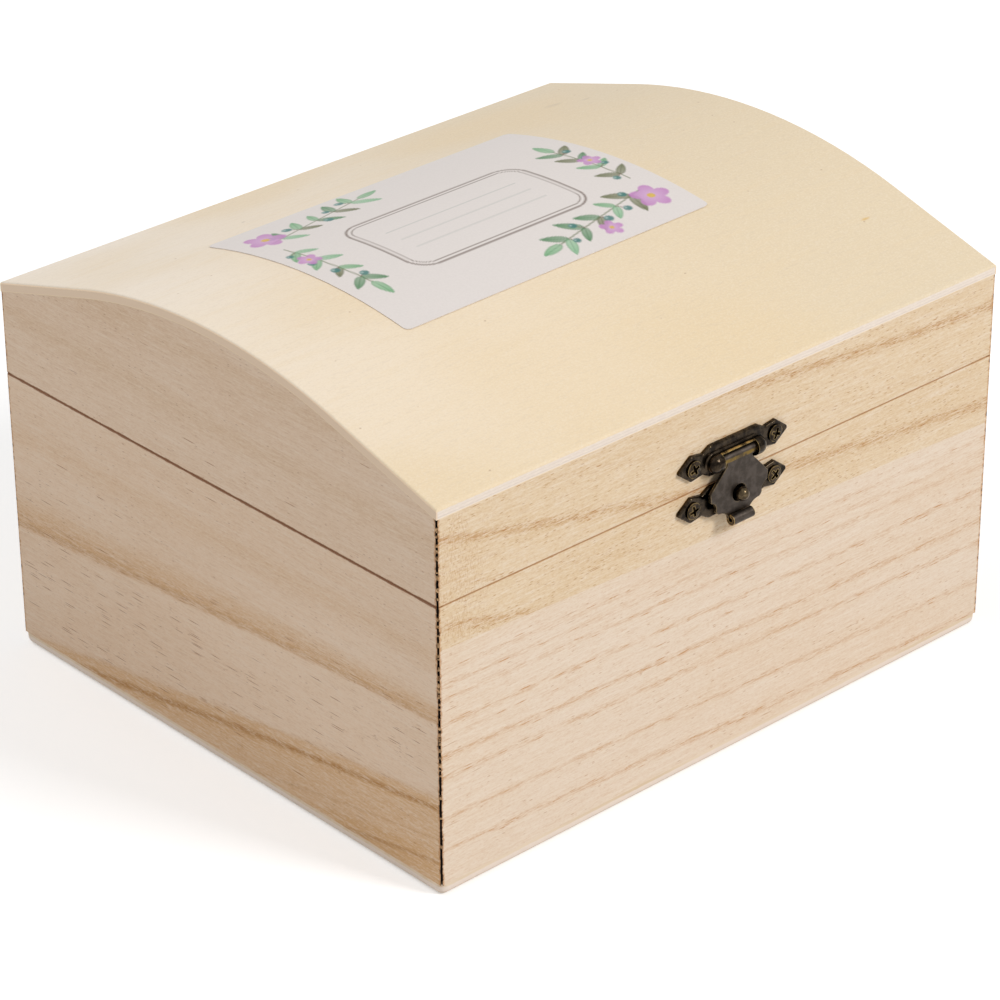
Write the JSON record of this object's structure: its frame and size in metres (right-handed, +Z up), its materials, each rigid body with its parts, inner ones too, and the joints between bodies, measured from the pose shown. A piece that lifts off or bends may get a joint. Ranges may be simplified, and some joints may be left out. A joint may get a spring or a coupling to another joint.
{
  "type": "hinged wooden box",
  "caption": "Bare wooden keepsake box with a domed hinged lid, mitred walls, a paper label and a small swinging hasp latch over a peg.",
  "frame": {"origin": "on the surface that the box stands on, under the middle of its bottom panel", "axes": "+X to the right along the front with the latch, -Y out of the front, +Z up"},
  "size_m": [0.15, 0.1374, 0.0962],
  "materials": {
    "paulownia": "planed bare paulownia, pale, with short brown pores along the grain",
    "lid_plywood": "sanded bare basswood plywood",
    "bottom_plywood": "bare basswood plywood, its edge eased",
    "label_paper": "matt coated paper with a printed border of leaves",
    "antique_bronze": "antique bronze plating, worn to brass at the edges",
    "screw_bronze": "antique bronze plated screw",
    "pin_steel": "dark plated wire"
  },
  "bodies": {
    "base": {"base_bottom_panel": "bottom_plywood", "base_front_lower_board": "paulownia", "base_front_upper_board": "paulownia", "base_left_wall": "paulownia", "base_right_wall": "paulownia", "base_back_wall": "paulownia", "latch_lower_plate": "antique_bronze", "latch_peg": "antique_bronze", "latch_lower_screws": "screw_bronze", "hinge_left_base_leaf": "antique_bronze", "hinge_left_base_screws": "screw_bronze", "hinge_left_pin": "pin_steel", "hinge_right_base_leaf": "antique_bronze", "hinge_right_base_screws": "screw_bronze", "hinge_right_pin": "pin_steel"},
    "lid": {"lid_front_rail": "paulownia", "lid_back_rail": "paulownia", "lid_left_end": "paulownia", "lid_right_end": "paulownia", "lid_top_panel": "lid_plywood", "paper_label": "label_paper", "latch_upper_plate": "antique_bronze", "latch_upper_screws": "screw_bronze", "hinge_left_lid_leaf": "antique_bronze", "hinge_left_lid_screws": "screw_bronze", "hinge_right_lid_leaf": "antique_bronze", "hinge_right_lid_screws": "screw_bronze"},
    "hasp": {"latch_hasp": "antique_bronze"}
  },
  "joints": [
    {"name": "lid_hinge", "type": "hinge", "parent": "base", "child": "lid", "pos_m": [0, 0.06645, 0.0625], "axis": [-1, 0, 0], "range_deg": [0, 180]},
    {"name": "hasp_hinge", "type": "hinge", "parent": "lid", "child": "hasp", "pos_m": [0, -0.0663, 0.0674], "axis": [-1, 0, 0], "range_deg": [0, 110]}
  ]
}
